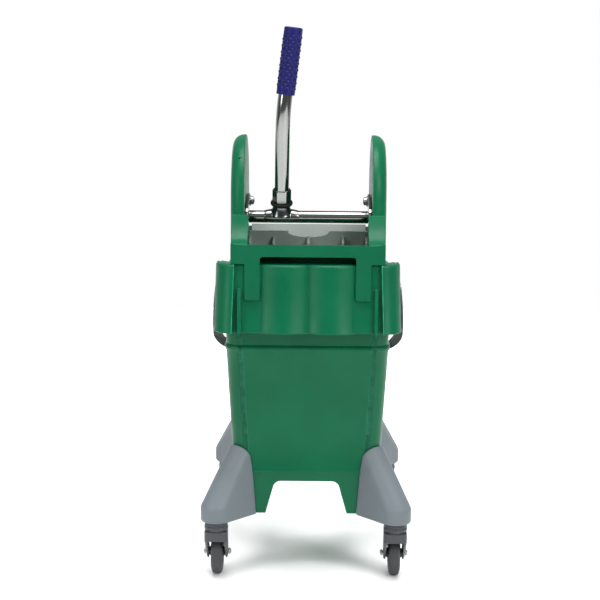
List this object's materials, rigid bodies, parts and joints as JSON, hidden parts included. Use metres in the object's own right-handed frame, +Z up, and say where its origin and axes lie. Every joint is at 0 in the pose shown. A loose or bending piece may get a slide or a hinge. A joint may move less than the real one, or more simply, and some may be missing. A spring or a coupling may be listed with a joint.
{
  "type": "mop bucket with wringer",
  "caption": "Wheeled mop bucket on swivel casters with a bail handle and a lift-off down-press wringer worked by a long lever.",
  "frame": {"origin": "middle of the bounding box, on the floor", "axes": "+Z up; -Y is the wringer end, where the user stands and the lever leans; +X is to the right seen from that end"},
  "size_m": [0.38, 0.5267, 0.9779],
  "materials": {
    "green_plastic": "satin moulded polypropylene",
    "leg_plastic": "fine moulded texture",
    "caster_plastic": "moulded nylon",
    "hub_plastic": "moulded",
    "tyre_rubber": "soft grey tread",
    "bail_plastic": "moulded",
    "press_plastic": "satin",
    "chrome": "polished",
    "zinc_steel": "zinc plated",
    "spring_steel": "drawn wire",
    "bush_brass": "turned",
    "collar_rubber": "matt",
    "grip_rubber": "nubbed soft grip"
  },
  "bodies": {
    "bucket": {"bucket": "green_plastic", "leg_front_left": "leg_plastic", "leg_rear_left": "leg_plastic", "leg_front_right": "leg_plastic", "leg_rear_right": "leg_plastic", "leg_screw_front_left": "zinc_steel", "leg_screw_rear_left": "zinc_steel", "leg_screw_front_right": "zinc_steel", "leg_screw_rear_right": "zinc_steel", "caster_race_front_left": "caster_plastic", "caster_race_rear_left": "caster_plastic", "caster_race_front_right": "caster_plastic", "caster_race_rear_right": "caster_plastic", "bail_screw_left": "zinc_steel", "bail_screw_right": "zinc_steel"},
    "bail": {"bail_handle": "bail_plastic"},
    "wringer": {"cheek_left": "green_plastic", "cheek_right": "green_plastic", "hook_panel": "green_plastic", "wringer_base": "green_plastic", "fixed_press_plate": "press_plastic", "press_plate_pin": "zinc_steel", "pivot_bush_left": "bush_brass", "pivot_bush_right": "bush_brass", "return_spring_left": "spring_steel", "return_spring_right": "spring_steel"},
    "press_plate": {"moving_press_plate": "press_plastic"},
    "lever": {"crank_plate_left": "chrome", "crank_plate_right": "chrome", "pivot_nut_left": "zinc_steel", "pivot_nut_right": "zinc_steel", "pivot_bolt_left": "zinc_steel", "pivot_bolt_right": "zinc_steel", "cross_bar": "chrome", "lever_clamp": "chrome", "lever_collar": "collar_rubber", "lever_nut": "chrome", "lever_tube": "chrome", "lever_grip": "grip_rubber"},
    "fork_front_left": {"caster_fork_front_left": "caster_plastic", "axle_bolt_front_left": "zinc_steel"},
    "wheel_front_left": {"wheel_hub_front_left": "hub_plastic", "tyre_front_left": "tyre_rubber"},
    "fork_rear_left": {"caster_fork_rear_left": "caster_plastic", "axle_bolt_rear_left": "zinc_steel"},
    "wheel_rear_left": {"wheel_hub_rear_left": "hub_plastic", "tyre_rear_left": "tyre_rubber"},
    "fork_front_right": {"caster_fork_front_right": "caster_plastic", "axle_bolt_front_right": "zinc_steel"},
    "wheel_front_right": {"wheel_hub_front_right": "hub_plastic", "tyre_front_right": "tyre_rubber"},
    "fork_rear_right": {"caster_fork_rear_right": "caster_plastic", "axle_bolt_rear_right": "zinc_steel"},
    "wheel_rear_right": {"wheel_hub_rear_right": "hub_plastic", "tyre_rear_right": "tyre_rubber"}
  },
  "joints": [
    {"name": "wringer_lift", "type": "slide", "parent": "bucket", "child": "wringer", "axis": [0, 0, 1], "range_m": [0, 0.2]},
    {"name": "lever_press", "type": "hinge", "parent": "wringer", "child": "lever", "pos_m": [0, -0.1, 0.67], "axis": [1, 0, 0], "range_deg": [0, 58], "stiffness_Nm_per_rad": 1.6, "springref_deg": -57.3},
    {"name": "press_plate_swing", "type": "hinge", "parent": "wringer", "child": "press_plate", "pos_m": [0, -0.158, 0.5], "axis": [1, 0, 0], "range_deg": [-27, 0]},
    {"name": "bail_swing", "type": "hinge", "parent": "bucket", "child": "bail", "pos_m": [0, 0.032, 0.497], "axis": [1, 0, 0], "range_deg": [0, 130]},
    {"name": "swivel_front_left", "type": "hinge", "parent": "bucket", "child": "fork_front_left", "pos_m": [-0.16, -0.2245, 0.0912], "axis": [0, 0, 1], "continuous": true},
    {"name": "wheel_turn_front_left", "type": "hinge", "parent": "fork_front_left", "child": "wheel_front_left", "pos_m": [-0.16, -0.1895, 0.04], "axis": [1, 0, 0], "continuous": true},
    {"name": "swivel_rear_left", "type": "hinge", "parent": "bucket", "child": "fork_rear_left", "pos_m": [-0.16, 0.1885, 0.0912], "axis": [0, 0, 1], "continuous": true},
    {"name": "wheel_turn_rear_left", "type": "hinge", "parent": "fork_rear_left", "child": "wheel_rear_left", "pos_m": [-0.16, 0.2235, 0.04], "axis": [1, 0, 0], "continuous": true},
    {"name": "swivel_front_right", "type": "hinge", "parent": "bucket", "child": "fork_front_right", "pos_m": [0.16, -0.2245, 0.0912], "axis": [0, 0, 1], "continuous": true},
    {"name": "wheel_turn_front_right", "type": "hinge", "parent": "fork_front_right", "child": "wheel_front_right", "pos_m": [0.16, -0.1895, 0.04], "axis": [1, 0, 0], "continuous": true},
    {"name": "swivel_rear_right", "type": "hinge", "parent": "bucket", "child": "fork_rear_right", "pos_m": [0.16, 0.1885, 0.0912], "axis": [0, 0, 1], "continuous": true},
    {"name": "wheel_turn_rear_right", "type": "hinge", "parent": "fork_rear_right", "child": "wheel_rear_right", "pos_m": [0.16, 0.2235, 0.04], "axis": [1, 0, 0], "continuous": true}
  ],
  "couplings": [
    {"joint": "press_plate_swing", "follows": "lever_press", "ratio": -0.46}
  ]
}
